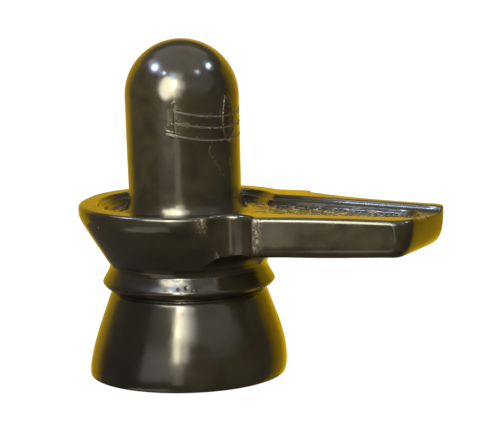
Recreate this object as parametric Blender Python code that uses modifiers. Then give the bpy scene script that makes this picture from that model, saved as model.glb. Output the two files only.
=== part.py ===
"""A shiva lingam carved from one piece of dark stone.

A domed shaft stands in a round basin, which pours into a long spout and rests on a ring and a
waisted foot. Metres, +Z up. The origin is on the shaft's axis at the underside, and the spout
points along +X.
"""
import math

import bmesh
import bpy

MM = 0.001

# The foot, a bell that narrows upwards
FOOT_HEIGHT = 50.0 * MM
FOOT_RADIUS = 59.4 * MM
FOOT_TOP_RADIUS = 47.0 * MM
FOOT_SHOULDER_HEIGHT = 20.0 * MM
FOOT_EDGE_HEIGHT = 5.0 * MM
FOOT_EDGE_INSET = 2.2 * MM

# The ring between foot and basin, with a groove cut in below it
GROOVE_HEIGHT = 1.8 * MM
GROOVE_DEPTH = 1.4 * MM
RING_RADIUS = 52.0 * MM
RING_HEIGHT = 14.2 * MM
RING_APEX_HEIGHT = 6.4 * MM
RING_APEX_ROUNDING = 1.6 * MM

# The basin's bowl and rim
NECK_RADIUS = 47.2 * MM
NECK_HEIGHT = 1.6 * MM
BOWL_HEIGHT = 29.2 * MM
RIM_RADIUS = 65.2 * MM
RIM_HEIGHT = 8.2 * MM
RIM_ROUNDING = 1.8 * MM

# The hollow of the basin, which runs on along the spout in two steps
RIM_WIDTH = 10.7 * MM
LEDGE_DEPTH = 2.8 * MM
LEDGE_SLOPE_RUN = 2.4 * MM
LEDGE_WIDTH = 2.2 * MM
HOLLOW_DEPTH = 5.6 * MM
HOLLOW_SLOPE_RUN = 1.6 * MM

# The spout, whose sides sweep in from its root to its tip
SPOUT_REACH = 158.5 * MM
SPOUT_HALF_WIDTHS = (51.0 * MM, 30.0 * MM, 31.5 * MM)
SPOUT_TIP_BULGE = 1.4 * MM
SPOUT_CORNER_RADIUS = 9.0 * MM
SPOUT_DEPTH = 24.0 * MM
SPOUT_EDGE_HEIGHT = 7.0 * MM
SPOUT_EDGE_INSET = 5.5 * MM
NOSE_LENGTH = 14.0 * MM
NOSE_FULLNESS = 2.8

# The channel in the spout, measured at the rim's level; it drifts to the far side, its ledge
# runs out over the lip and its floor ends round just behind the lip
CHANNEL_HALF_WIDTHS = (32.0 * MM, 26.5 * MM, 19.5 * MM)
CHANNEL_DRIFT = 0.025
CHANNEL_END_LENGTH = 18.0 * MM
LEDGE_END_PAST_TIP = 7.5 * MM
FLOOR_END_BEHIND_TIP = 4.0 * MM

# The upright flute where the spout leaves the rim on the near side
FLUTE_RADIUS = 13.8 * MM
FLUTE_DISTANCE = 74.0 * MM
FLUTE_ANGLE = math.radians(-44.7)
FLUTE_EDGE = 1.5 * MM

# The shoulder left standing in its place on the far side
SHOULDER_LENGTH = 58.6 * MM
SHOULDER_HALF_WIDTH = 54.6 * MM
SHOULDER_ROUNDING = 3.0 * MM

# The shaft
SHAFT_FOOT_RADIUS = 33.7 * MM
SHAFT_RADIUS = 34.1 * MM
SHAFT_HEIGHT = 69.0 * MM
COLLAR_RADIUS = 39.3 * MM
COLLAR_HEIGHT = 13.0 * MM

# The three carved lines and the upright leaf that crosses them
LINE_RADIUS = 0.55 * MM
LINES_ANGLE = math.radians(-10.0)
LINES_HALF_SPAN = math.radians(60.0)
LINES_BELOW_DOME = (9.6 * MM, 16.3 * MM, 23.7 * MM)
LINES_SAG = 4.3 * MM
LOWEST_LINE_OVERRUN = math.radians(9.0)
TICK_OVERRUN = 4.0 * MM
LEAF_RISE = 12.3 * MM
LEAF_DROP = 1.0 * MM
LEAF_HALF_WIDTH = 4.9 * MM
LEAF_LEAN = math.radians(-4.0)

# How finely round shapes are divided
TURNED_STEPS = 64
FLUTE_STEPS = 40
DOME_STEPS = 12
BEND_STEPS = 6
EDGE_STEPS = 3
SPOUT_SIDE_STEPS = 9
LINE_STEPS = 20
SINK = 4.0 * MM
WELD = 0.00001
EDGE_ANGLE = math.radians(30.0)


def clear_scene():
    """Start from an empty file."""
    for item in list(bpy.data.objects):
        bpy.data.objects.remove(item, do_unlink=True)


def new_collection(name):
    """Make a collection in the scene."""
    collection = bpy.data.collections.new(name)
    bpy.context.scene.collection.children.link(collection)
    return collection


def stone_material():
    """Polished, slightly oily black stone."""
    material = bpy.data.materials.new("black_stone")
    material.use_nodes = True
    shader = material.node_tree.nodes["Principled BSDF"]
    shader.inputs["Base Color"].default_value = (0.030, 0.027, 0.019, 1.0)
    shader.inputs["Roughness"].default_value = 0.32
    shader.inputs["Metallic"].default_value = 0.0
    return material


def bend(start, corner, end, steps):
    """Points of a smooth bend from start to end that leans towards the corner, without start."""
    points = []
    for step in range(1, steps + 1):
        t = step / steps
        weights = ((1 - t) ** 2, 2 * t * (1 - t), t ** 2)
        points.append(tuple(sum(w * p[axis] for w, p in zip(weights, (start, corner, end)))
                            for axis in range(2)))
    return points


def turned(name, profile, collection, steps=TURNED_STEPS):
    """Turn a profile of (radius, height) points, given from top to bottom, about the Z axis."""
    mesh = bpy.data.meshes.new(name)
    points = [(radius, 0.0, height) for radius, height in profile]
    edges = [(index, index + 1) for index in range(len(points) - 1)]
    mesh.from_pydata(points, edges, [])
    piece = bpy.data.objects.new(name, mesh)
    collection.objects.link(piece)
    screw = piece.modifiers.new("turn", "SCREW")
    screw.steps = steps
    screw.render_steps = steps
    screw.use_merge_vertices = True
    screw.merge_threshold = WELD
    return piece


def lofted(name, sections, collection):
    """Close a solid through outlines of equal point count, given from bottom to top."""
    mesh = bpy.data.meshes.new(name)
    build = bmesh.new()
    rings = [[build.verts.new(point) for point in section] for section in sections]
    count = len(rings[0])
    for lower, upper in zip(rings, rings[1:]):
        for index in range(count):
            after = (index + 1) % count
            build.faces.new((lower[index], lower[after], upper[after], upper[index]))
    build.faces.new(tuple(reversed(rings[0])))
    build.faces.new(tuple(rings[-1]))
    build.normal_update()
    build.to_mesh(mesh)
    build.free()
    piece = bpy.data.objects.new(name, mesh)
    collection.objects.link(piece)
    return piece


def tube(name, points, radius, collection, closed=False):
    """A round tube along a list of points, as a mesh with welded caps."""
    curve = bpy.data.curves.new(name, "CURVE")
    curve.dimensions = "3D"
    curve.bevel_depth = radius
    curve.bevel_resolution = 1
    curve.use_fill_caps = True
    spline = curve.splines.new("POLY")
    spline.points.add(len(points) - 1)
    for target, point in zip(spline.points, points):
        target.co = (*point, 1.0)
    spline.use_cyclic_u = closed
    guide = bpy.data.objects.new(name + "_curve", curve)
    collection.objects.link(guide)
    bpy.context.view_layer.update()
    evaluated = guide.evaluated_get(bpy.context.evaluated_depsgraph_get())
    mesh = bpy.data.meshes.new_from_object(evaluated)
    build = bmesh.new()
    build.from_mesh(mesh)
    bmesh.ops.remove_doubles(build, verts=build.verts, dist=WELD)
    build.to_mesh(mesh)
    build.free()
    piece = bpy.data.objects.new(name, mesh)
    piece.matrix_world = guide.matrix_world
    collection.objects.link(piece)
    bpy.data.objects.remove(guide, do_unlink=True)
    return piece


def combine(piece, other, operation):
    """Join another solid to a piece, or cut it out of the piece."""
    boolean = piece.modifiers.new(other.name, "BOOLEAN")
    boolean.operation = operation
    boolean.solver = "EXACT"
    boolean.object = other
    other.hide_render = True
    other.display_type = "WIRE"


# Heights that follow from the sizes above
GROOVE_TOP = FOOT_HEIGHT + GROOVE_HEIGHT
RING_TOP = GROOVE_TOP + RING_HEIGHT
NECK_TOP = RING_TOP + NECK_HEIGHT
RIM_FOOT = NECK_TOP + BOWL_HEIGHT
RIM_TOP = RIM_FOOT + RIM_HEIGHT
HOLLOW_FLOOR = RIM_TOP - HOLLOW_DEPTH
DOME_CENTRE = HOLLOW_FLOOR + SHAFT_HEIGHT


def pedestal_profile():
    """Rim, bowl, ring and foot, from the middle of the top to the middle of the underside."""
    rim_edge = (RIM_RADIUS, RIM_TOP - RIM_ROUNDING)
    rim_flat = (RIM_RADIUS - RIM_ROUNDING, RIM_TOP)
    lower_edge = (RIM_RADIUS, RIM_FOOT + RIM_ROUNDING)
    slope = (RIM_RADIUS - NECK_RADIUS) / BOWL_HEIGHT
    bowl_top = (RIM_RADIUS - RIM_ROUNDING * slope, RIM_FOOT - RIM_ROUNDING)
    apex = GROOVE_TOP + RING_APEX_HEIGHT
    groove_radius = FOOT_TOP_RADIUS - GROOVE_DEPTH
    foot_top = (FOOT_TOP_RADIUS, FOOT_HEIGHT)
    foot_side = (FOOT_RADIUS, FOOT_EDGE_HEIGHT)
    underside = (FOOT_RADIUS - FOOT_EDGE_INSET, 0.0)

    profile = [(0.0, RIM_TOP), rim_flat]
    profile += bend(rim_flat, (RIM_RADIUS, RIM_TOP), rim_edge, EDGE_STEPS)
    profile.append(lower_edge)
    profile += bend(lower_edge, (RIM_RADIUS, RIM_FOOT), bowl_top, EDGE_STEPS)
    profile += [(NECK_RADIUS, NECK_TOP), (NECK_RADIUS, RING_TOP)]
    upper_flank = (RING_RADIUS - RING_APEX_ROUNDING, apex + 2 * RING_APEX_ROUNDING)
    lower_flank = (RING_RADIUS - RING_APEX_ROUNDING, apex - 2 * RING_APEX_ROUNDING)
    profile.append(upper_flank)
    profile += bend(upper_flank, (RING_RADIUS + RING_APEX_ROUNDING / 2, apex), lower_flank, BEND_STEPS)
    profile += [(FOOT_TOP_RADIUS, GROOVE_TOP), (groove_radius, GROOVE_TOP)]
    profile += [(groove_radius, FOOT_HEIGHT), foot_top]
    profile += reversed(bend(foot_side, (FOOT_RADIUS, FOOT_SHOULDER_HEIGHT), foot_top, BEND_STEPS)[:-1])
    profile.append(foot_side)
    profile += bend(foot_side, (FOOT_RADIUS, 0.0), underside, EDGE_STEPS + 1)
    profile.append((0.0, 0.0))
    return profile


def shaft_profile():
    """Dome, shaft and flared collar, down to a plug sunk below the basin's floor."""
    profile = []
    for step in range(DOME_STEPS):
        angle = math.pi / 2 * step / DOME_STEPS
        profile.append((SHAFT_RADIUS * math.sin(angle), DOME_CENTRE + SHAFT_RADIUS * math.cos(angle)))
    profile.append((SHAFT_RADIUS, DOME_CENTRE))
    collar_top = (SHAFT_FOOT_RADIUS, HOLLOW_FLOOR + COLLAR_HEIGHT)
    collar_foot = (COLLAR_RADIUS, HOLLOW_FLOOR)
    profile.append(collar_top)
    profile += bend(collar_top, (SHAFT_FOOT_RADIUS, HOLLOW_FLOOR), collar_foot, BEND_STEPS)
    profile += [(COLLAR_RADIUS, HOLLOW_FLOOR - SINK), (0.0, HOLLOW_FLOOR - SINK)]
    return profile


def swept(widths, share):
    """A width that sweeps in from the root of the spout, at share 0, to its tip, at share 1."""
    weights = ((1 - share) ** 2, 2 * share * (1 - share), share ** 2)
    return sum(weight * width for weight, width in zip(weights, widths))


def spout_root():
    """How far along the spout its sides start, beside the middle of the flute."""
    return FLUTE_DISTANCE * math.cos(FLUTE_ANGLE)


def mirrored_outline(side, height, drift=0.0):
    """Close an outline of (along, across) points on one side with its mirror image."""
    outline = [(along, drift * along - across, height) for along, across in side]
    outline += [(along, drift * along + across, height) for along, across in reversed(side)
                if across > WELD]
    return outline


def spout_outline(inset, setback, height):
    """The spout's plan, drawn in by an inset at the sides and a setback at the tip."""
    tip = SPOUT_REACH - setback
    root = spout_root()
    shoulder = tip - SPOUT_CORNER_RADIUS - SPOUT_TIP_BULGE
    side = []
    for step in range(SPOUT_SIDE_STEPS + 1):
        along = root + (shoulder - root) * step / SPOUT_SIDE_STEPS
        share = (along - root) / (SPOUT_REACH - root)
        side.append((along, swept(SPOUT_HALF_WIDTHS, share) - inset))
    inner = SHAFT_RADIUS * math.cos(FLUTE_ANGLE)
    side.insert(0, (inner, side[0][1] * inner / root))
    across = side[-1][1]
    corner_end = (tip - SPOUT_TIP_BULGE, across - SPOUT_CORNER_RADIUS)
    side += bend(side[-1], (tip - SPOUT_TIP_BULGE, across), corner_end, BEND_STEPS)
    side += bend(corner_end, (tip, across / 2), (tip, 0.0), EDGE_STEPS)
    return mirrored_outline(side, height)


def shoulder_outline(inset, height):
    """The plan of the shoulder on the far side, drawn in by an inset."""
    end, across = SHOULDER_LENGTH - inset, SHOULDER_HALF_WIDTH - inset
    outer = [(end, SHOULDER_HALF_WIDTH / 2), (end, across - SHOULDER_ROUNDING)]
    outer += bend(outer[-1], (end, across), (end - SHOULDER_ROUNDING, across), EDGE_STEPS)
    rim = math.sqrt(RIM_RADIUS ** 2 - SHOULDER_HALF_WIDTH ** 2)
    outer += [(rim, across), (rim / 2, SHOULDER_HALF_WIDTH / 2)]
    return [(along, across, height) for along, across in outer]


def spout_levels():
    """How far down each section lies and how far it is drawn in, from the underside up."""
    levels = []
    for step in range(EDGE_STEPS + 2):
        angle = math.pi / 2 * step / (EDGE_STEPS + 1)
        levels.append((SPOUT_DEPTH - SPOUT_EDGE_HEIGHT * (1 - math.cos(angle)),
                       SPOUT_EDGE_INSET * (1 - math.sin(angle))))
    for share in (0.5, 0.3):
        levels.append((SPOUT_DEPTH * share, 0.0))
    for step in range(EDGE_STEPS + 1):
        angle = math.pi / 2 * step / EDGE_STEPS
        levels.append((RIM_ROUNDING * (1 - math.sin(angle)), RIM_ROUNDING * (1 - math.cos(angle))))
    return levels


def make_shoulder(collection):
    """The far shoulder's solid, as deep as the spout."""
    sections = [shoulder_outline(inset, RIM_TOP - drop) for drop, inset in spout_levels()]
    return lofted("far_shoulder", sections, collection)


def make_spout(collection):
    """The spout's solid, lofted from its underside to its flat top."""
    sections = []
    for drop, inset in spout_levels():
        share = (drop / SPOUT_DEPTH) ** NOSE_FULLNESS
        setback = NOSE_LENGTH * (1 - (1 - share) ** (1 / NOSE_FULLNESS))
        if drop < RIM_ROUNDING:
            setback += inset
        sections.append(spout_outline(inset, setback, RIM_TOP - drop))
    return lofted("spout", sections, collection)


def channel_outline(inset, end, height):
    """The plan of the channel in the spout, from inside the basin to its rounded end."""
    root = spout_root()
    side = [(0.0, CHANNEL_HALF_WIDTHS[0] - inset)]
    for step in range(SPOUT_SIDE_STEPS + 1):
        along = root + (end - CHANNEL_END_LENGTH - root) * step / SPOUT_SIDE_STEPS
        share = (along - root) / (SPOUT_REACH - root)
        side.append((along, swept(CHANNEL_HALF_WIDTHS, share) - inset))
    across = side[-1][1]
    for step in range(1, 2 * BEND_STEPS + 1):
        angle = math.pi / 2 * step / (2 * BEND_STEPS)
        side.append((end - CHANNEL_END_LENGTH * (1 - math.sin(angle)), across * math.cos(angle)))
    return mirrored_outline(side, height, CHANNEL_DRIFT)


def cut_hollow(body, collection):
    """Cut the basin and the channel: a sloping wall down to a ledge, then the deeper floor."""
    mouth = RIM_RADIUS - RIM_WIDTH
    ledge_foot = LEDGE_SLOPE_RUN
    step_top = ledge_foot + LEDGE_WIDTH
    floor_edge = step_top + HOLLOW_SLOPE_RUN
    ledge_end = SPOUT_REACH + LEDGE_END_PAST_TIP
    floor_end = SPOUT_REACH - FLOOR_END_BEHIND_TIP
    stages = [("ledge", ledge_end, 0.0, RIM_TOP, ledge_foot, RIM_TOP - LEDGE_DEPTH),
              ("floor", floor_end, step_top, RIM_TOP - LEDGE_DEPTH, floor_edge, HOLLOW_FLOOR)]
    for name, end, upper_inset, upper, lower_inset, lower in stages:
        basin = turned("basin_" + name, [(0.0, RIM_TOP + SINK), (mouth - upper_inset, RIM_TOP + SINK),
                                         (mouth - upper_inset, upper), (mouth - lower_inset, lower),
                                         (0.0, lower)], collection)
        combine(body, basin, "DIFFERENCE")
        lower_end = end - (lower_inset - upper_inset)
        sections = [channel_outline(lower_inset, lower_end, lower),
                    channel_outline(upper_inset, end, upper),
                    channel_outline(upper_inset, end, RIM_TOP + SINK)]
        channel = lofted("channel_" + name, sections, collection)
        combine(body, channel, "DIFFERENCE")


def cut_flute(body, collection):
    """Cut the upright flute, whose top edge is rounded, beside the spout's root."""
    shoulder = (FLUTE_RADIUS + FLUTE_EDGE, RIM_TOP)
    side = (FLUTE_RADIUS, RIM_TOP - FLUTE_EDGE)
    bottom = RIM_TOP - SPOUT_DEPTH - SINK
    profile = [(0.0, RIM_TOP + SINK), (shoulder[0], RIM_TOP + SINK), shoulder]
    profile += bend(shoulder, (FLUTE_RADIUS, RIM_TOP), side, EDGE_STEPS)
    profile += [(FLUTE_RADIUS, bottom), (0.0, bottom)]
    flute = turned("near_flute", profile, collection, FLUTE_STEPS)
    flute.location = (spout_root(), FLUTE_DISTANCE * math.sin(FLUTE_ANGLE), 0.0)
    combine(body, flute, "DIFFERENCE")


def on_shaft(angle, height):
    """A point on the shaft's surface, at an angle from the middle of the carved lines."""
    if height > DOME_CENTRE:
        radius = math.sqrt(SHAFT_RADIUS ** 2 - (height - DOME_CENTRE) ** 2)
    else:
        share = (DOME_CENTRE - height) / (SHAFT_HEIGHT - COLLAR_HEIGHT)
        radius = SHAFT_RADIUS + (SHAFT_FOOT_RADIUS - SHAFT_RADIUS) * share
    turn = LINES_ANGLE + angle
    return (radius * math.cos(turn), radius * math.sin(turn), height)


def line_height(below_dome, angle):
    """The height of a carved line, which sags in the middle of its span."""
    return DOME_CENTRE - below_dome + LINES_SAG * (angle / LINES_HALF_SPAN) ** 2


def cut_lines(body, collection):
    """Cut the three lines, the upright stroke at each end and the leaf across them."""
    for number, below_dome in enumerate(LINES_BELOW_DOME):
        start = -LINES_HALF_SPAN
        if below_dome == LINES_BELOW_DOME[-1]:
            start -= LOWEST_LINE_OVERRUN
        points = []
        for step in range(LINE_STEPS + 1):
            angle = start + (LINES_HALF_SPAN - start) * step / LINE_STEPS
            points.append(on_shaft(angle, line_height(below_dome, angle)))
        combine(body, tube(f"line_{number + 1}", points, LINE_RADIUS, collection), "DIFFERENCE")

    for name, angle in (("near_stroke", -LINES_HALF_SPAN), ("far_stroke", LINES_HALF_SPAN)):
        top = line_height(LINES_BELOW_DOME[0], angle) + TICK_OVERRUN
        bottom = line_height(LINES_BELOW_DOME[-1], angle)
        points = []
        for step in range(BEND_STEPS + 1):
            points.append(on_shaft(angle, top + (bottom - top) * step / BEND_STEPS))
        combine(body, tube(name, points, LINE_RADIUS, collection), "DIFFERENCE")

    tip = line_height(LINES_BELOW_DOME[0], 0.0) + LEAF_RISE
    foot = line_height(LINES_BELOW_DOME[-1], 0.0) - LEAF_DROP
    points = []
    for step in range(2 * LINE_STEPS):
        share = 1 - abs(step / LINE_STEPS - 1)
        side = 1 if step < LINE_STEPS else -1
        half_width = LEAF_HALF_WIDTH * math.sin(math.pi * share ** 0.7) ** 0.7
        angle = LEAF_LEAN * share ** 2 + side * half_width / SHAFT_RADIUS
        points.append(on_shaft(angle, foot + (tip - foot) * share))
    combine(body, tube("leaf", points, LINE_RADIUS, collection, closed=True), "DIFFERENCE")


def main():
    """Carve the stone."""
    clear_scene()
    parts = new_collection("shiva_lingam_parts")
    tools = new_collection("carving_tools")
    body = turned("pedestal", pedestal_profile(), tools)
    combine(body, make_spout(tools), "UNION")
    combine(body, make_shoulder(tools), "UNION")
    cut_flute(body, tools)
    cut_hollow(body, tools)
    combine(body, turned("shaft", shaft_profile(), tools), "UNION")
    cut_lines(body, tools)
    bpy.context.view_layer.update()
    carved = body.evaluated_get(bpy.context.evaluated_depsgraph_get())
    mesh = bpy.data.meshes.new_from_object(carved)
    mesh.name = "shiva_lingam"
    body.hide_render = True
    body.display_type = "WIRE"
    stone = bpy.data.objects.new("shiva_lingam", mesh)
    parts.objects.link(stone)
    mesh.materials.clear()
    mesh.materials.append(stone_material())
    mesh.shade_smooth()
    mesh.set_sharp_from_angle(angle=EDGE_ANGLE)


main()
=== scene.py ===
"""The looks of a carved stone shiva lingam: worn edges, tool marks, carved lines and oiled polish."""

import math

import bmesh
import bpy
import numpy as np
from mathutils import Matrix, Vector


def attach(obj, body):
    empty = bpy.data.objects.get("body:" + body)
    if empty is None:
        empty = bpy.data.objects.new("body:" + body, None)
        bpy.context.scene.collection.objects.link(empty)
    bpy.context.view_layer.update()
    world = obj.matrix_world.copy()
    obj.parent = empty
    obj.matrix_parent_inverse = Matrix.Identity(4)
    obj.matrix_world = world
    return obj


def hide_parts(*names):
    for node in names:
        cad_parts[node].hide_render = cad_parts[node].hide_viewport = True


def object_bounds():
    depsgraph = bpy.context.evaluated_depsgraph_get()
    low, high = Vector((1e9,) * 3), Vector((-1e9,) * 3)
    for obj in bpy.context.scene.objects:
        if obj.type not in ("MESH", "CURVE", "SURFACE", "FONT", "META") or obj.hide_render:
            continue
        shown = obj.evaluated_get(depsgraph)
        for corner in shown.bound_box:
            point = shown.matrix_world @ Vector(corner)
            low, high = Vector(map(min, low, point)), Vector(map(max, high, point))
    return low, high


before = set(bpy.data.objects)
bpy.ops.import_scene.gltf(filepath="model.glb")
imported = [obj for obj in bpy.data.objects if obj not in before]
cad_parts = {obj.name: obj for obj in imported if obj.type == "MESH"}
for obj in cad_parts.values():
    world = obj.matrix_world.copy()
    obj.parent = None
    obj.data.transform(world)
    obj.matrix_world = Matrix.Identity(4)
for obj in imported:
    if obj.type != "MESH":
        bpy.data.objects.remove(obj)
CAD_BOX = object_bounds()

MM = 0.001

# Sizes of the stone in millimetres, as in the frame
RIM_TOP = 105.0
NEAR_RIM_ROUNDING = 2.88
FAR_RIM_ROUNDING = 1.44
FOOT_EDGE_ROUNDING = 0.8
RIM_RADIUS = 65.2
DOME_CENTRE = 168.4
SHAFT_RADIUS = 34.1
HOLLOW_FLOOR = 99.4

# The outer side of foot, ring, bowl and rim: height and radius
SIDE_PROFILE = [
    (0.0, 57.0), (0.3, 57.9), (1.2, 58.8), (2.8, 59.2), (5.0, 59.4), (9.0, 59.2), (13.4, 58.6),
    (18.4, 57.7), (23.8, 56.3), (29.6, 54.6), (35.9, 52.4), (42.7, 49.9), (49.8, 47.3),
    (50.7, 46.7), (51.3, 46.1), (51.9, 45.8), (52.5, 46.3), (53.1, 47.6), (54.8, 50.0), (56.3, 51.3),
    (57.2, 51.8), (58.2, 51.6), (60.0, 50.6), (62.6, 49.1), (64.8, 48.0), (66.4, 47.3), (68.2, 47.5),
    (71.4, 49.4), (82.2, 56.1), (90.6, 61.2), (94.2, 63.2), (97.0, 64.5), (99.6, 65.1), (102.0, 65.2),
    (110.0, 65.2),
]

# The shaft and the collar at its foot: height and radius
SHAFT_PROFILE = [(80.0, 39.0), (99.2, 39.0), (99.9, 37.4), (100.8, 36.2), (102.7, 35.2), (105.2, 34.4),
                 (108.4, 33.9), (112.4, 33.7), (140.0, 33.9), (168.4, 34.1)]
COLLAR_FILLET = 0.8

# The spout
SPOUT_ROOT = 52.6
SPOUT_REACH = 155.3
SPOUT_HALF_WIDTHS = (51.0, 30.0, 31.5)
SPOUT_SWEEP = 105.9
SWEEP_RANGE = (-0.6, 1.2)
SPOUT_BULGE = 1.4
SPOUT_DEPTH = 24.0
SPOUT_EDGE = 7.5
NEAR_CORNER = 12.5
FAR_CORNER = 7.0
NOSE_LENGTH = 10.0
NOSE_FULLNESS = 2.8

# Where the hand-carved stone strays from its plain form: the shaft leans and the foot spreads to one
# side, the spout's far edge stands higher and its underside rises towards the tip
LEAN_WAY = (-0.899, -0.438)
SHAFT_LEAN = (0.9, 1.7)
LEAN_HEIGHT = 95.0
FOOT_SPREAD = 2.0
FOOT_SPREAD_HEIGHT = 32.0
FAR_EDGE_RISE = 0.9
FAR_EDGE_RUN = (60.0, 30.0)
UNDERSIDE_RISE = 2.0
UNDERSIDE_RISE_FROM = 92.0
UNDERSIDE_RISE_LENGTH = 53.0
UNDERSIDE_RISE_MOST = 1.2
UNDERSIDE_RISE_CURVE = 1.5

# The hollow of the basin and the channel, whose ledge runs out over the lip
BASIN_RADIUS = 54.5
CHANNEL_HALF_WIDTHS = (32.0, 26.5, 19.5)
CHANNEL_DRIFT = 0.025
CHANNEL_ROUNDING = 20.0
BASIN_CORNER = 3.0
LEDGE_END = 166.0
FLOOR_END = 152.0
LIP_FROM = 143.0
LIP_LENGTH = 10.0
LIP_HALF_WIDTH = 14.0
LIP_WEAR = 0.8

# How deep ledge and floor are cut, at distances in from the rim's inner edge
LEDGE_STEPS = [(-1.2, 0.0), (-0.3, 0.05), (0.5, 0.4), (1.7, 2.2), (2.5, 2.7), (4.0, 2.8), (10.0, 2.8)]
FLOOR_STEPS = [(3.6, 0.0), (4.5, 0.15), (5.3, 1.35), (6.1, 2.6), (7.0, 2.8), (10.0, 2.8)]

# The flute at the spout's root on the near side, the shoulder in its place on the far side, and the
# fillet under them, which grows below the rim
FLUTE_RADIUS = 13.8
FLUTE_CENTRE = (52.6, -52.05)
FLUTE_EDGE = 1.6
ROOT_FILLET = 9.0
ROOT_FILLET_AT_RIM = 1.5
ROOT_FILLET_FROM = 8.0
ROOT_FILLET_RUN = 12.0
SHOULDER_LENGTH = 58.6
SHOULDER_HALF_WIDTH = 54.6
SHOULDER_START = (17.0, 27.0)
SHOULDER_EDGE = 7.0
SHOULDER_CORNER = 5.0
SHOULDER_FILLET = 1.2

# The carved lines and leaf
LINES_ANGLE = math.radians(-10.0)
LINES_HALF_SPAN = math.radians(60.0)
LINE_DROPS = (9.6, 16.3, 23.7)
LINES_SAG = 4.3
LOWEST_LINE_OVERRUN = math.radians(9.0)
STROKE_OVERRUN = 4.0
LEAF_RISE = 12.3
LEAF_DROP = 1.0
LEAF_HALF_WIDTH = 4.9
LEAF_LEAN = math.radians(-4.0)
LEAF_FULLNESS = 0.7
LEAF_POINTS = 25
GROOVE_WIDTH = 0.62
GROOVE_DEPTH = 0.55
CARVED_HEIGHTS = (118.0, 182.0)
CARVED_HALF_ANGLE = 1.5
CARVED_MARGIN = 2.0

# The burr that stands up beside each groove
BURR_HEIGHT = 0.1
BURR_OFFSET = 1.1
BURR_WIDTH = 0.35

# Stray scratches on the shaft, in degrees from the middle of the lines and heights
SCRATCHES = [
    [(-23.4, 143.7), (-26.9, 138.5), (-18.6, 130.7), (-9.4, 123.3)],
    [(1.6, 133.6), (1.9, 129.4)],
    [(-64.0, 163.6), (-63.4, 156.0)], [(-66.2, 164.2), (-66.6, 155.2)],
    [(-12.5, 162.6), (-11.4, 158.0)],
]
SCRATCH_WIDTH = 0.35
SCRATCH_DEPTH = 0.16

# Small pits: angle round the axis in degrees, height, radius and depth
PITS = [(-70.0, 60.6, 0.8, 0.5), (-67.2, 58.4, 0.6, 0.4), (-64.5, 61.2, 1.0, 0.45), (-62.0, 57.0, 0.7, 0.5),
        (-60.4, 59.6, 0.6, 0.4), (-66.0, 55.4, 0.9, 0.5), (-57.5, 60.0, 0.5, 0.4), (-117.0, 96.6, 0.7, 0.6),
        (-73.0, 54.8, 0.6, 0.4), (-102.0, 72.0, 0.6, 0.35)]

# Unevenness of the surface: wavelength in millimetres and random seed, then how high it stands
BROAD_WAVES, BROAD_HEIGHT = (38.0, 3), 0.05
FINE_WAVES, FINE_HEIGHT = (13.0, 4), 0.012
CHISEL_WAVES, CHISEL_HEIGHT, CHISEL_DEPTH = (1.7, 5), 0.16, 0.25
CHISEL_STRETCH = (1, 1, 0.3)
CHANNEL_WAVES, CHANNEL_HEIGHT = (2.4, 6), 0.14
GROOVE_WAVES, GROOVE_WANDER = (2.0, 7), 0.08
SMOOTH_FOOT_HEIGHT = 2.0

# Where the chisel's marks were left on the upright arrises beside the flute
ARRIS_WIDTH = 1.8
ARRIS_REACH = 4.2
ARRIS_RIM_SETBACK = 6.0
ARRIS_LOWEST = 82.0
ARRIS_FADE = 5.0

# Where the channel's floor is rough, which fades towards the basin
ROUGH_FLOOR_START = 5.6
ROUGH_FLOOR_FADE = 1.5
ROUGH_FLOOR_RADIUS = 41.0
ROUGH_FLOOR_DEPTH = 9.0
BASIN_SHARE = 0.25
BASIN_FADE_START = 20.0
BASIN_FADE_RUN = 50.0

# The stone's colours
DARK_STONE = (0.0090, 0.0077, 0.0042, 1)
LIGHT_STONE = (0.0170, 0.0140, 0.0080, 1)
SPECKS = (0.07, 0.065, 0.05, 1)
CHISELLED_STONE = (0.12, 0.10, 0.068, 1)
CHANNEL_CHIPS = (0.30, 0.27, 0.21, 1)
CARVED_STONE = (0.06, 0.052, 0.033, 1)

# Its polish where the oil lies best, its refraction, and the depth of its grain in millimetres
POLISH = 0.17
REFRACTION = 1.55
GRAIN_DEPTH = 0.12

# How far to each side a slope is read, in millimetres
PROBE = 0.05

# Keeps the spout's nose from dividing by zero
TINY = 1e-4

# Farther than any carved stroke
FAR_AWAY = 99.0

# How fine the mesh is, in millimetres and radians
FIRST_EDGE = 2.2
SMALLEST_EDGE = 0.55
LARGEST_TURN = 0.18
REFINE_ROUNDS = 3

# The photograph's frame and viewpoint; pixels are in the 500 by 429 frame
PICTURE = (500, 429)
RIM_CENTRE_PIXEL = (187.0, 200.4)
PIXEL_SIZE = 0.6
LENS = 170.0
SENSOR = 36.0
CAMERA_TURN = -64.0
CAMERA_RISE = 9.4
CAMERA_ROLL = 1.3

# The studio, in metres and degrees
FLOOR_SIZE = 12.0
FLOOR_GLOW = 1.05
BACKDROP = (0.9, 0.9, 0.9, 1)
LIGHT_AIM = 0.12
ROOM = (0.150, 0.136, 0.107)
GOLD = (1.0, 0.60, 0.0)
GOLD_STRENGTH = 1.0
GOLD_COLUMNS = 7
# Bands of the gold curtain: azimuths from and to, strength, lowest elevation
GOLD_BANDS = [(110, 120, 0.6, -50), (120, 142, 0.95, -50), (142, 180, 1.3, -28), (180, 232, 1.0, -21),
              (232, 240, 0.4, -21)]
GOLD_HIGHEST = 28.0
GOLD_DISTANCE = 1.7
SHADE_AZIMUTH = -35.0
SHADE_DISTANCE = 0.16
SHADE_SHIFT = 0.010
SHADE_WIDTH = 0.09
# Shade cards: name, bottom and top in metres, strength
SHADE_PARTS = [("lower_shade_card", 0.0, 0.062, 1.15), ("upper_shade_card", 0.062, 0.14, 0.4)]
SHADE_COLOUR = (1.0, 0.95, 0.88)

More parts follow.
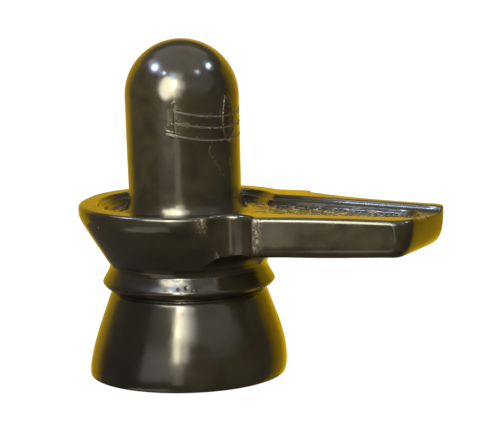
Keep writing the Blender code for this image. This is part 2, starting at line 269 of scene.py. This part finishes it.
# Lamps: name, azimuth, elevation, distance, size, watts, colour, shape
LAMPS = [
    ("window", -31.0, 22.0, 1.3, (0.60, 1.02), 30.0, (1.0, 0.93, 0.68), "ELLIPSE"),
    ("doorway", -14.8, 24.0, 1.3, (0.17, 0.86), 8.6, (1.0, 0.93, 0.64), "RECTANGLE"),
    ("doorway_top", -15.0, 30.0, 1.3, (0.26, 0.32), 4.0, (1.0, 0.94, 0.70), "RECTANGLE"),
    ("doorway_side", -5.5, 23.5, 1.3, (0.16, 0.80), 2.8, (1.0, 0.94, 0.74), "RECTANGLE"),
    ("threshold", -12.0, -4.5, 1.3, (0.26, 0.46), 0.6, (1.0, 0.92, 0.72), "RECTANGLE"),
    ("dome_glow", -1.0, 27.5, 1.3, (0.36, 0.34), 2.2, (1.0, 0.95, 0.84), "RECTANGLE"),
    ("table_glow", -50.0, -40.0, 1.3, (1.0, 0.35), 1.5, (1.0, 0.93, 0.80), "RECTANGLE"),
    ("sky", -22.0, 46.0, 1.3, (0.24, 0.26), 2.2, (0.50, 0.66, 1.0), "RECTANGLE"),
    ("sky_wide", -32.0, 46.0, 1.3, (0.9, 0.26), 0.4, (0.86, 0.92, 1.0), "RECTANGLE"),
    ("sky_warm", -5.0, 46.0, 1.3, (0.26, 0.24), 0.9, (1.0, 0.94, 0.86), "RECTANGLE"),
    ("far_wall", 44.0, 33.0, 1.3, (1.5, 1.10), 1.9, (0.90, 0.95, 1.0), "ELLIPSE"),
    ("ceiling", 0.0, 89.0, 1.5, (2.2, 2.2), 12.0, (1.0, 0.98, 0.90), "RECTANGLE"),
    ("ceiling_spot_1", -85.0, 49.0, 1.5, (0.40, 0.24), 9.0, (0.60, 0.74, 1.0), "ELLIPSE"),
    ("ceiling_glow_1", -84.0, 50.0, 1.5, (1.35, 0.34), 5.0, (0.56, 0.68, 1.0), "ELLIPSE"),
    ("ceiling_spot_2", -47.0, 48.5, 1.5, (0.10, 0.09), 1.9, (0.74, 0.87, 1.0), "ELLIPSE"),
    ("ceiling_spot_3", 49.0, 49.5, 1.5, (0.07, 0.07), 1.5, (0.74, 0.87, 1.0), "DISK"),
    ("ceiling_spot_4", 95.0, 48.0, 1.5, (0.32, 0.14), 5.2, (0.70, 0.84, 1.0), "ELLIPSE"),
]


def smooth_curve(at, knots):
    """Read a smooth curve through (place, value) knots that never overshoots them."""
    place, value = (np.array(column, float) for column in zip(*knots))
    step = np.diff(place)
    slope = np.diff(value) / step
    tangent = np.zeros(len(place))
    same_way = slope[:-1] * slope[1:] > 0
    mean = 2 * slope[:-1] * slope[1:] / np.where(same_way, slope[:-1] + slope[1:], 1.0)
    tangent[1:-1] = np.where(same_way, mean, 0.0)
    tangent[0], tangent[-1] = slope[0], slope[-1]
    spot = np.clip(np.searchsorted(place, at) - 1, 0, len(step) - 1)
    t = np.clip((at - place[spot]) / step[spot], 0.0, 1.0)
    rise = value[spot + 1] - value[spot]
    start, end = tangent[spot] * step[spot], tangent[spot + 1] * step[spot]
    return value[spot] + t * (start + t * (3 * rise - 2 * start - end + t * (start + end - 2 * rise)))


def slope_of(at, knots):
    """How steep a smooth curve is at each place."""
    return (smooth_curve(at + PROBE, knots) - smooth_curve(at - PROBE, knots)) / (2 * PROBE)


def swept(along, widths):
    """A half width that sweeps in from the spout's root to its tip."""
    share = np.clip((along - SPOUT_ROOT) / SPOUT_SWEEP, *SWEEP_RANGE)
    return (1 - share) ** 2 * widths[0] + 2 * share * (1 - share) * widths[1] + share ** 2 * widths[2]


def larger(first, second, rounding):
    """The larger of two distances, which cuts one form by another and rounds the edge between."""
    blend = np.maximum(rounding - np.abs(first - second), 0.0) / rounding
    return np.maximum(first, second) + blend * blend * rounding / 4


def smaller(first, second, rounding):
    """The smaller of two distances, which joins two forms with a fillet between them."""
    return -larger(-first, -second, rounding)


def ripple(points, wavelength, seed, waves=9):
    """Gentle unevenness between about -1 and 1, a sum of waves in random directions."""
    random = np.random.default_rng(seed)
    total = np.zeros(len(points))
    for _ in range(waves):
        direction = random.normal(size=3)
        direction *= 2 * math.pi / (np.linalg.norm(direction) * wavelength * random.uniform(0.7, 1.5))
        total += np.sin(points @ direction + random.uniform(0, 2 * math.pi))
    return total / math.sqrt(waves)


def inside_hollow(x, y, end):
    """How far inside the edge of the hollow a place in plan lies, for a channel with this end."""
    basin = BASIN_RADIUS - np.hypot(x, y)
    sides = swept(x, CHANNEL_HALF_WIDTHS) - np.abs(y - CHANNEL_DRIFT * x)
    channel = -larger(-sides, x - end, CHANNEL_ROUNDING)
    channel = np.minimum(channel, x)
    return larger(basin, channel, BASIN_CORNER)


def hollow_depth(x, y):
    """How deep basin and channel are cut below the rim at a place in plan."""
    ledge = smooth_curve(inside_hollow(x, y, LEDGE_END), LEDGE_STEPS)
    near_lip = np.clip((x - LIP_FROM) / LIP_LENGTH, 0.0, 1.0)
    near_lip = near_lip * np.clip((LIP_HALF_WIDTH - y) / (2 * LIP_HALF_WIDTH), 0.0, 1.0)
    ledge = ledge * (1 - LIP_WEAR * near_lip)
    return ledge + smooth_curve(inside_hollow(x, y, FLOOR_END), FLOOR_STEPS)


def line_height(drop, angle):
    """The height of a carved line, which sags in the middle of its span."""
    return DOME_CENTRE - drop + LINES_SAG * (angle / LINES_HALF_SPAN) ** 2


def beyond(value, low, high):
    """How far a value lies outside a range."""
    return np.maximum(np.maximum(low - value, value - high), 0.0)


def distance_to_stroke(across, up, stroke):
    """How far a place on the unrolled shaft is from a stroke of straight pieces."""
    nearest = np.full(len(across), FAR_AWAY)
    for start, end in zip(stroke, stroke[1:]):
        run = np.subtract(end, start)
        offset = np.stack([across - start[0], up - start[1]], 1)
        t = np.clip(offset @ run / (run @ run), 0.0, 1.0)
        nearest = np.minimum(nearest, np.linalg.norm(offset - t[:, None] * run, axis=1))
    return nearest


def distance_to_carving(angle, height):
    """How far a place on the shaft is from the nearest carved stroke."""
    nearest = np.full(len(angle), FAR_AWAY)
    for drop in LINE_DROPS:
        start = -LINES_HALF_SPAN
        if drop == LINE_DROPS[-1]:
            start -= LOWEST_LINE_OVERRUN
        past = SHAFT_RADIUS * beyond(angle, start, LINES_HALF_SPAN)
        nearest = np.minimum(nearest, np.hypot(height - line_height(drop, angle), past))
    low = line_height(LINE_DROPS[-1], LINES_HALF_SPAN)
    high = line_height(LINE_DROPS[0], LINES_HALF_SPAN) + STROKE_OVERRUN
    for end in (-LINES_HALF_SPAN, LINES_HALF_SPAN):
        past = beyond(height, low, high)
        nearest = np.minimum(nearest, np.hypot(SHAFT_RADIUS * (angle - end), past))
    foot = line_height(LINE_DROPS[-1], 0.0) - LEAF_DROP
    tip = line_height(LINE_DROPS[0], 0.0) + LEAF_RISE
    share = np.linspace(0.0, 1.0, LEAF_POINTS)
    half_width = LEAF_HALF_WIDTH * np.sin(math.pi * share ** LEAF_FULLNESS) ** LEAF_FULLNESS
    for side in (-1, 1):
        across = SHAFT_RADIUS * LEAF_LEAN * share ** 2 + side * half_width
        stroke = list(zip(across, foot + (tip - foot) * share))
        nearest = np.minimum(nearest, distance_to_stroke(SHAFT_RADIUS * angle, height, stroke))
    return nearest


def distance_to_scratches(angle, height):
    """How far a place on the shaft is from the nearest stray scratch."""
    nearest = np.full(len(angle), FAR_AWAY)
    for scratch in SCRATCHES:
        stroke = [(SHAFT_RADIUS * math.radians(turn), up) for turn, up in scratch]
        nearest = np.minimum(nearest, distance_to_stroke(SHAFT_RADIUS * angle, height, stroke))
    return nearest


def moved_back(points, how_far):
    """Plan coordinates with a sideways shift of the stone taken out."""
    return points[:, 0] - how_far * LEAN_WAY[0], points[:, 1] - how_far * LEAN_WAY[1]


def in_upright_shaft(points):
    """Plan coordinates of points on the leaning shaft, as if it stood upright."""
    share = np.clip((points[:, 2] - RIM_TOP) / LEAN_HEIGHT, 0.0, 1.0)
    return moved_back(points, SHAFT_LEAN[0] + (SHAFT_LEAN[1] - SHAFT_LEAN[0]) * share)


def shaft_angle(x, y):
    """The angle round the shaft from the middle of the carved lines."""
    turn = np.arctan2(y, x) - LINES_ANGLE
    return (turn + math.pi) % (2 * math.pi) - math.pi


def flute_distance(x, y):
    """How far a place in plan lies outside the flute's wall."""
    return np.hypot(x - FLUTE_CENTRE[0], y - FLUTE_CENTRE[1]) - FLUTE_RADIUS


def on_arris(points):
    """Where the chisel's marks were left: on the upright arrises beside the flute."""
    x, y, z = points.T
    radial = np.hypot(x, y)
    side = np.abs(y) - swept(x, SPOUT_HALF_WIDTHS)
    outer = np.exp(-(side / ARRIS_WIDTH) ** 2) * (x > SPOUT_ROOT)
    rim = np.exp(-((radial - RIM_RADIUS) / ARRIS_WIDTH) ** 2) * (x < FLUTE_CENTRE[0] - ARRIS_RIM_SETBACK)
    near = np.exp(-(np.maximum(flute_distance(x, y), 0.0) / ARRIS_REACH) ** 2)
    return near * np.maximum(outer, rim) * np.clip((z - ARRIS_LOWEST) / ARRIS_FADE, 0.0, 1.0)


def outside_stone(points):
    """How far each point stands outside the stone, in millimetres."""
    x, y, z = points.T
    spread = FOOT_SPREAD * np.clip(1 - z / FOOT_SPREAD_HEIGHT, 0.0, 1.0) ** 2
    radius = smooth_curve(z, SIDE_PROFILE)
    steep = slope_of(z, SIDE_PROFILE)
    pedestal = (np.hypot(*moved_back(points, spread)) - radius) / np.sqrt(1 + steep ** 2)
    pedestal = larger(pedestal, -z, FOOT_EDGE_ROUNDING)

    width = swept(x, SPOUT_HALF_WIDTHS)
    flare = (swept(x + 0.5, SPOUT_HALF_WIDTHS) - swept(x - 0.5, SPOUT_HALF_WIDTHS))
    sides = (np.abs(y) - width) / np.sqrt(1 + flare ** 2)
    below_rim = np.maximum(RIM_TOP - z, 0.0)
    bulge = SPOUT_BULGE * (y / SPOUT_HALF_WIDTHS[2]) ** 2
    past = np.maximum(x + bulge - (SPOUT_REACH - NOSE_LENGTH), 0.0)
    rising = np.clip((x - UNDERSIDE_RISE_FROM) / UNDERSIDE_RISE_LENGTH, 0.0, UNDERSIDE_RISE_MOST)
    depth = SPOUT_DEPTH - UNDERSIDE_RISE * rising ** UNDERSIDE_RISE_CURVE
    forward, down = past / NOSE_LENGTH + TINY, below_rim / depth + TINY
    ratio = (forward ** NOSE_FULLNESS + down ** NOSE_FULLNESS) ** (1 / NOSE_FULLNESS)
    pull = np.hypot((forward / ratio) ** (NOSE_FULLNESS - 1) / NOSE_LENGTH,
                    (down / ratio) ** (NOSE_FULLNESS - 1) / depth)
    nose = (ratio - 1) / pull
    root = (np.abs(y) * SPOUT_ROOT - x * SPOUT_HALF_WIDTHS[0]) / math.hypot(SPOUT_ROOT, SPOUT_HALF_WIDTHS[0])
    upright = forward / (forward + down)
    corner = SPOUT_EDGE + (np.where(y < 0, NEAR_CORNER, FAR_CORNER) - SPOUT_EDGE) * upright
    spout = np.maximum(larger(sides, nose, corner), root)

    shoulder = larger(x - SHOULDER_LENGTH, y - SHOULDER_HALF_WIDTH, SHOULDER_CORNER)
    shoulder = larger(shoulder, RIM_TOP - SPOUT_DEPTH - z, SHOULDER_EDGE)
    shoulder = np.maximum(shoulder, np.maximum(SHOULDER_START[0] - x, SHOULDER_START[1] - y))

    grown = np.clip((RIM_TOP - ROOT_FILLET_FROM - z) / ROOT_FILLET_RUN, 0.0, 1.0)
    fillet = ROOT_FILLET_AT_RIM + ROOT_FILLET * grown
    stone = smaller(smaller(pedestal, spout, fillet), shoulder, SHOULDER_FILLET)
    stone = larger(stone, -flute_distance(x, y), FLUTE_EDGE)
    fall = (hollow_depth(x + PROBE, y) - hollow_depth(x - PROBE, y)) ** 2
    fall += (hollow_depth(x, y + PROBE) - hollow_depth(x, y - PROBE)) ** 2
    outwards, across = (np.clip(way / run, 0.0, 1.0) for way, run in zip((x, y), FAR_EDGE_RUN))
    rim_top = RIM_TOP + FAR_EDGE_RISE * across * outwards
    top = (z - rim_top + hollow_depth(x, y)) / np.sqrt(1 + fall / (2 * PROBE) ** 2)
    stone = larger(stone, top, np.where(y > 0, FAR_RIM_ROUNDING, NEAR_RIM_ROUNDING))

    radial = np.hypot(*in_upright_shaft(points))
    upright = radial - smooth_curve(z, SHAFT_PROFILE)
    dome = np.hypot(radial, z - DOME_CENTRE) - SHAFT_RADIUS
    shaft = np.where(z > DOME_CENTRE, dome, upright)
    shaft = np.maximum(shaft, SHAFT_PROFILE[0][0] - z)
    return smaller(stone, shaft, COLLAR_FILLET)


def relief(points):
    """How far the finer surface stands out from the plain form, in millimetres, and its masks."""
    x, y, z = points.T
    radial = np.hypot(x, y)
    height = BROAD_HEIGHT * ripple(points, *BROAD_WAVES) + FINE_HEIGHT * ripple(points, *FINE_WAVES)
    height = height * np.clip(z / SMOOTH_FOOT_HEIGHT, 0.0, 1.0)
    marks = on_arris(points)
    height = height + marks * (CHISEL_HEIGHT * ripple(points * CHISEL_STRETCH, *CHISEL_WAVES) - CHISEL_DEPTH)
    floor = np.clip((inside_hollow(x, y, FLOOR_END) - ROUGH_FLOOR_START) / ROUGH_FLOOR_FADE, 0.0, 1.0)
    floor = floor * (radial > ROUGH_FLOOR_RADIUS) * (z < RIM_TOP) * (z > RIM_TOP - ROUGH_FLOOR_DEPTH)
    beyond_basin = np.clip((x - BASIN_FADE_START) / BASIN_FADE_RUN, 0.0, 1.0)
    floor = floor * (BASIN_SHARE + (1 - BASIN_SHARE) * beyond_basin)
    height = height + floor * CHANNEL_HEIGHT * ripple(points, *CHANNEL_WAVES)
    for turn, up, radius, depth in PITS:
        there = np.abs(z - up) < 3 * radius
        across = radial[there] * (np.arctan2(y[there], x[there]) - math.radians(turn))
        near = np.hypot(across, z[there] - up) / radius
        height[there] -= depth * np.exp(-near ** 4)

    carving = np.zeros(len(points))
    x, y = in_upright_shaft(points)
    angle = shaft_angle(x, y)
    carved = (z > CARVED_HEIGHTS[0]) & (z < CARVED_HEIGHTS[1])
    carved &= (np.abs(angle) < CARVED_HALF_ANGLE) & (np.hypot(x, y) < SHAFT_RADIUS + CARVED_MARGIN)
    if carved.any():
        wander = GROOVE_WANDER * ripple(points[carved], *GROOVE_WAVES)
        near = distance_to_carving(angle[carved], z[carved]) + wander
        scratch = distance_to_scratches(angle[carved], z[carved])
        height[carved] -= GROOVE_DEPTH * np.exp(-(near / GROOVE_WIDTH) ** 4)
        height[carved] += BURR_HEIGHT * np.exp(-((near - BURR_OFFSET) / BURR_WIDTH) ** 2)
        height[carved] -= SCRATCH_DEPTH * np.exp(-(scratch / SCRATCH_WIDTH) ** 2)
        scratched = 0.8 * np.exp(-(scratch / (1.3 * SCRATCH_WIDTH)) ** 2)
        carving[carved] = np.maximum(np.exp(-(near / (1.1 * GROOVE_WIDTH)) ** 4), scratched)
    return height, marks, floor, carving


def detailed(points):
    """Distance outside the stone with its finer surface."""
    return outside_stone(points) - relief(points)[0]


def outward(points, form, reach=0.06):
    """The outward direction of a form at each point, and its steepness."""
    gradient = np.zeros_like(points)
    for corner in ((1, -1, -1), (-1, -1, 1), (-1, 1, -1), (1, 1, 1)):
        offset = np.array(corner, float)
        gradient += offset * (form(points + reach * offset) / (4 * reach))[:, None]
    steep = np.linalg.norm(gradient, axis=1, keepdims=True)
    return gradient / np.maximum(steep, 1e-6), steep[:, 0]


def settle(points, form, rounds=4, most=0.8):
    """Move points onto the surface of a form."""
    for _ in range(rounds):
        direction, steep = outward(points, form)
        step = np.clip(form(points) / np.maximum(steep, 0.3), -most, most)
        points = points - direction * step[:, None]
    return points


def mesh_points(build):
    """A bmesh's vertices in millimetres."""
    return np.array([vertex.co for vertex in build.verts], float) / MM


def place_points(build, points):
    """Put a bmesh's vertices at points given in millimetres."""
    for vertex, point in zip(build.verts, points * MM):
        vertex.co = point


def split_where_bent(build):
    """Split edges where the surface turns quickly, so that edges and carving get a finer mesh."""
    points = mesh_points(build)
    direction, _ = outward(points, detailed)
    sharp = []
    for edge in build.edges:
        first, second = edge.verts[0].index, edge.verts[1].index
        length = np.linalg.norm(points[first] - points[second])
        turn = np.linalg.norm(direction[first] - direction[second])
        if length > SMALLEST_EDGE and turn > LARGEST_TURN:
            sharp.append(edge)
    bmesh.ops.subdivide_edges(build, edges=sharp, cuts=1)
    bmesh.ops.triangulate(build, faces=[face for face in build.faces if len(face.verts) > 3])
    build.verts.index_update()


def relax(build, form, rounds):
    """Even out the triangles along the surface and settle them on it again."""
    for _ in range(rounds):
        bmesh.ops.smooth_vert(build, verts=build.verts, factor=0.4,
                              use_axis_x=True, use_axis_y=True, use_axis_z=True)
        place_points(build, settle(mesh_points(build), form, 2))


def carve_stone(node):
    """The stone's fine surface: an even mesh of the solid, settled on its true form and refined."""
    stone = bpy.data.objects.new("carved_stone", node.data.copy())
    bpy.context.scene.collection.objects.link(stone)
    even = stone.modifiers.new("even_mesh", "REMESH")
    even.mode = "VOXEL"
    even.voxel_size = FIRST_EDGE * MM
    evaluated = stone.evaluated_get(bpy.context.evaluated_depsgraph_get())
    mesh = bpy.data.meshes.new_from_object(evaluated)
    stone.modifiers.clear()
    stone.data = mesh

    build = bmesh.new()
    build.from_mesh(mesh)
    bmesh.ops.triangulate(build, faces=build.faces)
    place_points(build, settle(mesh_points(build), outside_stone, 5))
    relax(build, outside_stone, 3)
    for _ in range(REFINE_ROUNDS):
        split_where_bent(build)
        place_points(build, settle(mesh_points(build), detailed, 3))
        relax(build, detailed, 1)
    points = mesh_points(build)
    direction, _ = outward(points, detailed)
    low, high = (np.array(corner) / MM for corner in CAD_BOX)
    place_points(build, np.clip(points, low, high))
    build.to_mesh(mesh)
    build.free()

    _, marks, floor, carving = relief(points)
    for name, values in (("tool_marks", marks), ("channel_floor", floor), ("carving", carving)):
        layer = mesh.attributes.new(name, "FLOAT", "POINT")
        layer.data.foreach_set("value", values.astype(np.float32))
    mesh.shade_smooth()
    mesh.normals_split_custom_set_from_vertices([tuple(normal) for normal in direction])
    print("carved stone:", len(mesh.polygons), "triangles")
    return stone


class Reading:
    """A shader socket whose operators add the nodes that work out the sum."""

    def __init__(self, finish, socket):
        self.finish = finish
        self.socket = socket

    def work(self, operation, other):
        """Add a node that works out this socket with another value."""
        return self.finish.node("ShaderNodeMath", {"operation": operation}, {0: self, 1: other})

    def __add__(self, other):
        return self.work("ADD", other)

    def __mul__(self, other):
        return self.work("MULTIPLY", other)

    __radd__ = __add__
    __rmul__ = __mul__

    def between(self, low, high):
        """0 below low and 1 above high, with a soft step between."""
        settings = {"interpolation_type": "SMOOTHSTEP"}
        return self.finish.node("ShaderNodeMapRange", settings,
                                {"Value": self, "From Min": low, "From Max": high})


class Finish:
    """A material under construction."""

    def __init__(self, name):
        self.material = bpy.data.materials.new(name)
        self.material.use_nodes = True
        self.tree = self.material.node_tree
        self.shader = self.tree.nodes["Principled BSDF"]

    def node(self, kind, settings, inputs, output=0):
        """Add a node: its settings first, then the values or links of its sockets."""
        node = self.tree.nodes.new(kind)
        for setting, value in settings.items():
            setattr(node, setting, value)
        for name, value in inputs.items():
            self.feed(node.inputs[name], value)
        return Reading(self, node.outputs[output])

    def feed(self, socket, value):
        """Give a socket a value or a link."""
        if isinstance(value, Reading):
            self.tree.links.new(value.socket, socket)
        else:
            socket.default_value = value

    def mix(self, share, first, second):
        """Mix two colours."""
        node = self.tree.nodes.new("ShaderNodeMix")
        node.data_type = "RGBA"
        colours = [socket for socket in node.inputs if socket.type == "RGBA"]
        self.feed(node.inputs[0], share)
        self.feed(colours[0], first)
        self.feed(colours[1], second)
        result = [socket for socket in node.outputs if socket.type == "RGBA"][0]
        return Reading(self, result)

    def place(self):
        """Where on the object a point lies, in metres."""
        return self.node("ShaderNodeTexCoord", {}, {}, "Object")

    def mask(self, name):
        """A mask stored on the mesh."""
        return self.node("ShaderNodeAttribute", {"attribute_name": name}, {}, "Fac")

    def noise(self, place, size, detail=3.0, distortion=0.0):
        """Cloudy noise with patches of a size in millimetres."""
        return self.node("ShaderNodeTexNoise", {},
                         {"Vector": place, "Scale": 1 / (size * MM), "Detail": detail,
                          "Distortion": distortion})

    def bump(self, height, depth):
        """A bump whose height of 1 stands for a depth in millimetres."""
        inputs = {"Height": height, "Distance": depth * MM, "Strength": 1.0}
        return self.node("ShaderNodeBump", {}, inputs, "Normal")


def oiled_stone():
    """Black stone with an olive cast, rubbed with oil, and pale where the chisel left it rough."""
    finish = Finish("oiled_black_stone")
    place = finish.place()
    marks = finish.mask("tool_marks")
    floor = finish.mask("channel_floor")
    carving = finish.mask("carving")
    clouds = finish.noise(place, 22.0, 4.0, 0.6)
    grain = finish.noise(place, 0.9, 5.0)
    speck = finish.noise(place, 0.45, 2.0)
    chips = finish.noise(place, 1.6, 2.0)
    smears = finish.noise(place, 14.0, 3.0, 1.2)

    stone = finish.mix(clouds.between(0.35, 0.68), DARK_STONE, LIGHT_STONE)
    stone = finish.mix(speck.between(0.68, 0.76) * 0.3, stone, SPECKS)
    rough = marks * grain.between(0.35, 0.6)
    stone = finish.mix(rough * 0.6, stone, CHISELLED_STONE)
    stone = finish.mix(floor * chips.between(0.5, 0.66) * 0.65, stone, CHANNEL_CHIPS)
    stone = finish.mix(carving * 0.5, stone, CARVED_STONE)
    finish.feed(finish.shader.inputs["Base Color"], stone)

    roughness = POLISH + 0.07 * smears.between(0.35, 0.75)
    roughness = roughness + 0.35 * rough + 0.12 * floor * grain + 0.2 * carving
    finish.feed(finish.shader.inputs["Roughness"], roughness)
    height = grain * (0.03 + marks + 0.9 * floor)
    finish.feed(finish.shader.inputs["Normal"], finish.bump(height, GRAIN_DEPTH))
    finish.shader.inputs["IOR"].default_value = REFRACTION
    return finish.material


def glowing(name, colour, strength):
    """A card that gives off its own light."""
    finish = Finish(name)
    finish.shader.inputs["Base Color"].default_value = (0, 0, 0, 1)
    finish.shader.inputs["Roughness"].default_value = 1.0
    finish.shader.inputs["Emission Color"].default_value = (*colour, 1)
    finish.shader.inputs["Emission Strength"].default_value = strength
    return finish.material


def from_camera_side(azimuth, elevation, distance):
    """A point round the shaft: azimuth is turned to the picture's right of the camera's side."""
    turn = math.radians(CAMERA_TURN + azimuth)
    rise = math.radians(elevation)
    flat = distance * math.cos(rise)
    return Vector((flat * math.cos(turn), flat * math.sin(turn), distance * math.sin(rise) + LIGHT_AIM))


def aim(item, target):
    """Point an object's -Z axis at a target, with its Y axis up."""
    item.rotation_euler = (Vector(target) - item.location).to_track_quat("-Z", "Y").to_euler()


def lamp(name, azimuth, elevation, distance, size, watts, colour, shape):
    """A soft lamp that faces the stone."""
    data = bpy.data.lights.new(name, "AREA")
    data.shape = shape
    data.size, data.size_y = size
    data.energy = watts
    data.color = colour
    light = bpy.data.objects.new(name, data)
    bpy.context.scene.collection.objects.link(light)
    light.location = from_camera_side(azimuth, elevation, distance)
    aim(light, (0, 0, LIGHT_AIM))


def unseen_by_camera(card):
    """Keep a card out of the picture and let it light nothing but what mirrors it."""
    card.visible_camera = False
    card.visible_diffuse = False
    card.visible_shadow = False


def make_floor():
    """A white sweep under the stone, for the camera alone."""
    bpy.ops.mesh.primitive_plane_add(size=FLOOR_SIZE, location=(0, 0, 0))
    floor = bpy.context.object
    floor.name = "floor"
    floor.data.materials.append(glowing("white_sweep", (1.0, 1.0, 1.0), FLOOR_GLOW))
    floor.visible_glossy = False
    floor.visible_diffuse = False
    floor.visible_shadow = False


def make_gold_backdrop():
    """A warm curtain bent round behind the stone, seen only where its polish mirrors it."""
    for number, (start, stop, share, lowest) in enumerate(GOLD_BANDS):
        build = bmesh.new()
        rows = []
        for azimuth in np.linspace(start, stop, GOLD_COLUMNS):
            rows.append([build.verts.new(from_camera_side(azimuth, elevation, GOLD_DISTANCE))
                         for elevation in (lowest, GOLD_HIGHEST)])
        for first, second in zip(rows, rows[1:]):
            build.faces.new((first[0], second[0], second[1], first[1]))
        name = f"gold_curtain_{number + 1}"
        mesh = bpy.data.meshes.new(name)
        build.to_mesh(mesh)
        build.free()
        card = bpy.data.objects.new(name, mesh)
        bpy.context.scene.collection.objects.link(card)
        mesh.materials.append(glowing(name, GOLD, GOLD_STRENGTH * share))
        unseen_by_camera(card)


def make_shade_cards():
    """Cards close to the stone that keep the window's light off the foot, the lower one the brighter."""
    turn = math.radians(CAMERA_TURN + SHADE_AZIMUTH)
    toward = Vector((math.cos(turn), math.sin(turn), 0.0))
    aside = Vector((-math.sin(turn), math.cos(turn), 0.0))
    for name, bottom, top, strength in SHADE_PARTS:
        bpy.ops.mesh.primitive_plane_add(size=1.0)
        card = bpy.context.object
        card.name = name
        card.scale = (SHADE_WIDTH, top - bottom, 1.0)
        card.location = toward * SHADE_DISTANCE + aside * SHADE_SHIFT + Vector((0, 0, (bottom + top) / 2))
        card.rotation_euler = toward.to_track_quat("Z", "Y").to_euler()
        card.data.materials.append(glowing(name, SHADE_COLOUR, strength))
        card.visible_camera = False
        card.visible_diffuse = False


def make_world():
    """Dim warm light from all round, and a pale background behind the floor."""
    world = bpy.data.worlds.new("studio")
    bpy.context.scene.world = world
    world.use_nodes = True
    tree = world.node_tree
    tree.nodes["Background"].inputs["Color"].default_value = (*ROOM, 1)
    tree.nodes["Background"].inputs["Strength"].default_value = 1.0
    backdrop = tree.nodes.new("ShaderNodeBackground")
    backdrop.inputs["Color"].default_value = BACKDROP
    path = tree.nodes.new("ShaderNodeLightPath")
    choose = tree.nodes.new("ShaderNodeMixShader")
    tree.links.new(path.outputs["Is Camera Ray"], choose.inputs[0])
    tree.links.new(tree.nodes["Background"].outputs[0], choose.inputs[1])
    tree.links.new(backdrop.outputs[0], choose.inputs[2])
    tree.links.new(choose.outputs[0], tree.nodes["World Output"].inputs["Surface"])


def make_camera():
    """The photograph's view: a long lens, a little above the rim, tilted slightly."""
    turn, rise = math.radians(CAMERA_TURN), math.radians(CAMERA_RISE)
    back = Vector((math.cos(turn) * math.cos(rise), math.sin(turn) * math.cos(rise), math.sin(rise)))
    right = Vector((-math.sin(turn), math.cos(turn), 0.0))
    up = back.cross(right)
    roll = math.radians(CAMERA_ROLL)
    picture_right = right * math.cos(roll) - up * math.sin(roll)
    picture_up = up * math.cos(roll) + right * math.sin(roll)
    anchor_x, anchor_y = RIM_CENTRE_PIXEL
    aside = (PICTURE[0] / 2 - anchor_x) * PIXEL_SIZE
    down = (PICTURE[1] / 2 - anchor_y) * PIXEL_SIZE
    target = Vector((0, 0, RIM_TOP)) + picture_right * aside - picture_up * down
    distance = PICTURE[0] * PIXEL_SIZE * LENS / SENSOR
    data = bpy.data.cameras.new("camera")
    data.lens = LENS
    data.sensor_width = SENSOR
    data.clip_end = 100.0
    camera = bpy.data.objects.new("camera", data)
    bpy.context.scene.collection.objects.link(camera)
    place = (target + back * distance) * MM
    axes = Matrix((picture_right, picture_up, back)).transposed()
    camera.matrix_world = Matrix.Translation(place) @ axes.to_4x4()
    bpy.context.scene.camera = camera


stone = carve_stone(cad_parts["shiva_lingam"])
stone.data.materials.clear()
stone.data.materials.append(oiled_stone())
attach(stone, "root")
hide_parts("shiva_lingam")

make_floor()
make_gold_backdrop()
make_shade_cards()
make_world()
for values in LAMPS:
    lamp(*values)
bpy.context.scene.view_settings.view_transform = "Standard"
make_camera()
